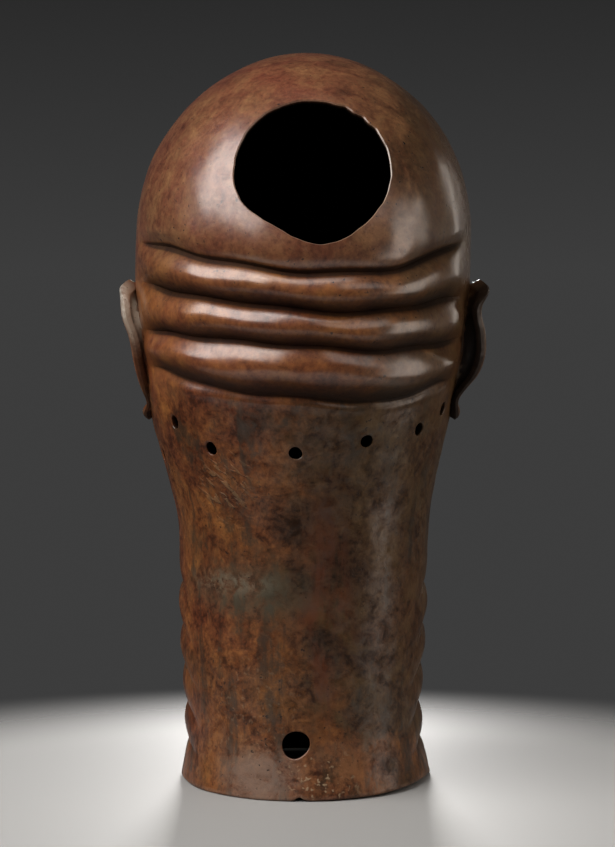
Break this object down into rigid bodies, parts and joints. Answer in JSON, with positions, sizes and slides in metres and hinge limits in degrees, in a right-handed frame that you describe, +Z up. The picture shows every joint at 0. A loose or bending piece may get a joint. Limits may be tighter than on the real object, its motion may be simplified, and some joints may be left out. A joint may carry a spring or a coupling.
{
  "type": "cast metal head sculpture",
  "caption": "Life-size hollow cast-metal head on a ringed neck, with a round opening in the back of the crown, rolls of skin on the nape and a row of small pierced holes.",
  "frame": {"origin": "middle of the footprint, on the surface that the neck's rim stands on", "axes": "+Z up; the face looks along -Y, so the opening in the crown and the nape are at +Y"},
  "size_m": [0.1735, 0.2191, 0.345],
  "materials": {
    "patinated_brass": "glossy red-brown patina with darker patches, worn lighter along the edges"
  },
  "bodies": {
    "root": {"cast_head": "patinated_brass"}
  },
  "joints": []
}
